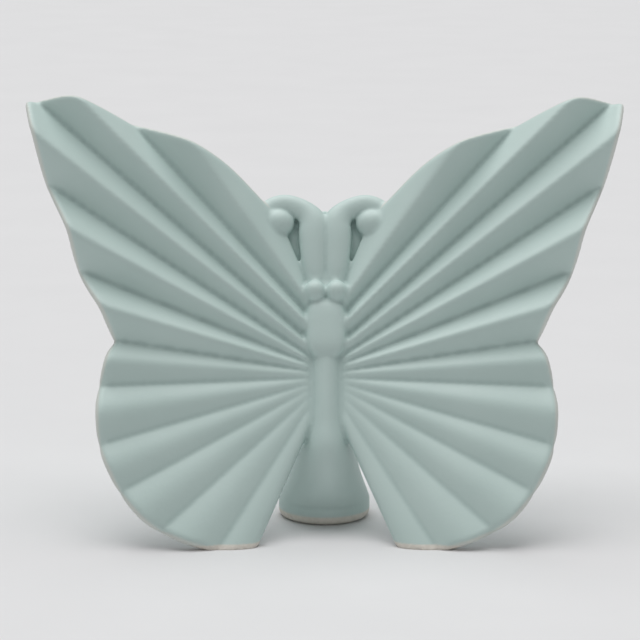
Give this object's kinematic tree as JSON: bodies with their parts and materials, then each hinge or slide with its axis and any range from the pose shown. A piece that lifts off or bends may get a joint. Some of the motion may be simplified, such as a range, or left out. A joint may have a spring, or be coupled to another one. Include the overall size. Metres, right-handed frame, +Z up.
{
  "type": "butterfly ornament",
  "caption": "Pale celadon porcelain butterfly figurine with radially pleated wings, bead eyes and curled antennae, leaning back on its lower wings and a flared rear leg",
  "frame": {"origin": "centre of the round rear foot, on the table", "axes": "+X to the right of a viewer in front of the ornament, -Y towards that viewer, +Z up"},
  "size_m": [0.1446, 0.0546, 0.1004],
  "materials": {
    "celadon_glaze": "matte celadon glaze"
  },
  "bodies": {
    "root": {"thorax": "celadon_glaze", "head": "celadon_glaze", "right_eye": "celadon_glaze", "left_eye": "celadon_glaze", "right_antenna": "celadon_glaze", "left_antenna": "celadon_glaze", "abdomen_leg": "celadon_glaze", "right_forewing": "celadon_glaze", "left_forewing": "celadon_glaze", "right_hindwing": "celadon_glaze", "left_hindwing": "celadon_glaze"}
  },
  "joints": []
}
